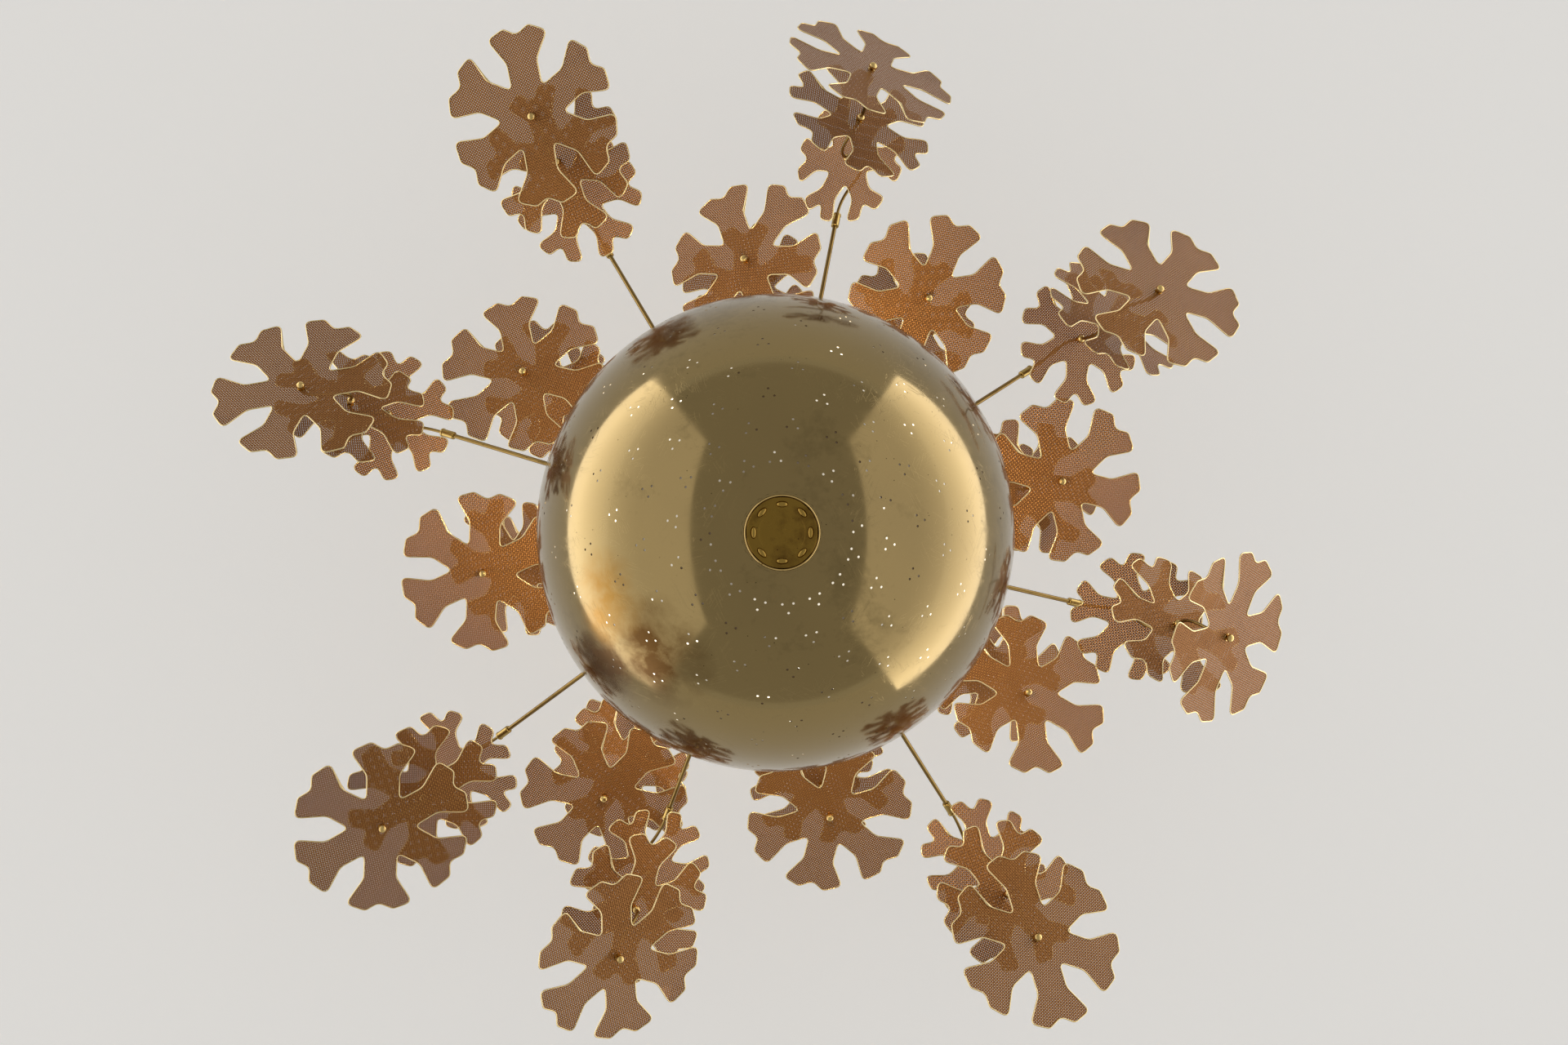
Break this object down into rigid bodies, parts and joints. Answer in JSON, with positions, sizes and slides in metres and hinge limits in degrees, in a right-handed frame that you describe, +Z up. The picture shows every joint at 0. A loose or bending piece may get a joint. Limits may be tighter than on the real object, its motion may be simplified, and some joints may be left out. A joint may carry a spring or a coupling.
{
  "type": "chandelier",
  "caption": "Hanging brass chandelier: a perforated hemispherical bowl round upward bulbs, with two tiers of drooping branches threaded with six-armed wire-cloth flakes.",
  "frame": {"origin": "centre of the ceiling plate's top face, where the lamp hangs from the ceiling", "axes": "+Z up, out of the plate's top face into the ceiling; the stem runs down -Z on the axis; +Y points to the top of the picture, and +X to its left, because the picture looks straight up"},
  "size_m": [0.9539, 0.9094, 0.8879],
  "materials": {
    "bowl_brass": "polished olive-gold brass, aged, with fine scratches and dull patches",
    "rod_brass": "thin brass rod and wire, dulled",
    "fitting_brass": "turned brass, satin",
    "cap_brass": "turned and stamped brass, browned, with a bright rim",
    "hook_steel": "bent steel wire, dull",
    "wire_cloth": "woven copper-brown brass wire cloth with a thin bright wire along its edge",
    "opal_glass": "warm white opal glass with a brass screw cap"
  },
  "bodies": {
    "ceiling": {"ceiling_plate": "fitting_brass"},
    "link": {"hook_link": "hook_steel"},
    "lamp": {"stem": "fitting_brass", "long_branches": "rod_brass", "short_branches": "rod_brass", "lamp_body": "fitting_brass", "long_1_small_flake": "wire_cloth", "long_1_medium_flake": "wire_cloth", "long_1_large_flake": "wire_cloth", "long_2_small_flake": "wire_cloth", "long_2_medium_flake": "wire_cloth", "long_2_large_flake": "wire_cloth", "long_3_small_flake": "wire_cloth", "long_3_medium_flake": "wire_cloth", "long_3_large_flake": "wire_cloth", "long_4_small_flake": "wire_cloth", "long_4_medium_flake": "wire_cloth", "long_4_large_flake": "wire_cloth", "long_5_small_flake": "wire_cloth", "long_5_medium_flake": "wire_cloth", "long_5_large_flake": "wire_cloth", "long_6_small_flake": "wire_cloth", "long_6_medium_flake": "wire_cloth", "long_6_large_flake": "wire_cloth", "long_7_small_flake": "wire_cloth", "long_7_medium_flake": "wire_cloth", "long_7_large_flake": "wire_cloth", "long_8_small_flake": "wire_cloth", "long_8_medium_flake": "wire_cloth", "long_8_large_flake": "wire_cloth", "short_1_small_flake": "wire_cloth", "short_1_medium_flake": "wire_cloth", "short_1_large_flake": "wire_cloth", "short_2_small_flake": "wire_cloth", "short_2_medium_flake": "wire_cloth", "short_2_large_flake": "wire_cloth", "short_3_small_flake": "wire_cloth", "short_3_medium_flake": "wire_cloth", "short_3_large_flake": "wire_cloth", "short_4_small_flake": "wire_cloth", "short_4_medium_flake": "wire_cloth", "short_4_large_flake": "wire_cloth", "short_5_small_flake": "wire_cloth", "short_5_medium_flake": "wire_cloth", "short_5_large_flake": "wire_cloth", "short_6_small_flake": "wire_cloth", "short_6_medium_flake": "wire_cloth", "short_6_large_flake": "wire_cloth", "short_7_small_flake": "wire_cloth", "short_7_medium_flake": "wire_cloth", "short_7_large_flake": "wire_cloth", "short_8_small_flake": "wire_cloth", "short_8_medium_flake": "wire_cloth", "short_8_large_flake": "wire_cloth"},
    "canopy": {"canopy": "bowl_brass"},
    "bulb_1": {"bulb_1": "opal_glass"},
    "bulb_2": {"bulb_2": "opal_glass"},
    "bulb_3": {"bulb_3": "opal_glass"},
    "bowl": {"bowl": "bowl_brass"},
    "cap": {"bottom_cap": "cap_brass"}
  },
  "joints": [
    {"name": "link_swing", "type": "hinge", "parent": "ceiling", "child": "link", "pos_m": [0, 0, -0.035], "axis": [1, 0, 0], "range_deg": [-4, 4]},
    {"name": "stem_swing", "type": "hinge", "parent": "link", "child": "lamp", "pos_m": [0, 0, -0.0572], "axis": [0, 1, 0], "range_deg": [-4, 4]},
    {"name": "canopy_slide", "type": "slide", "parent": "lamp", "child": "canopy", "axis": [0, 0, -1], "range_m": [0, 0.1]},
    {"name": "bulb_1_unscrew", "type": "slide", "parent": "lamp", "child": "bulb_1", "axis": [0, 0.5299, 0.848], "range_m": [0, 0.03]},
    {"name": "bulb_2_unscrew", "type": "slide", "parent": "lamp", "child": "bulb_2", "axis": [-0.4589, -0.265, 0.848], "range_m": [0, 0.03]},
    {"name": "bulb_3_unscrew", "type": "slide", "parent": "lamp", "child": "bulb_3", "axis": [0.4589, -0.265, 0.848], "range_m": [0, 0.03]},
    {"name": "bowl_drop", "type": "slide", "parent": "lamp", "child": "bowl", "axis": [0, 0, -1], "range_m": [0, 0.12]},
    {"name": "cap_unscrew", "type": "slide", "parent": "bowl", "child": "cap", "axis": [0, 0, -1], "range_m": [0, 0.03]}
  ]
}
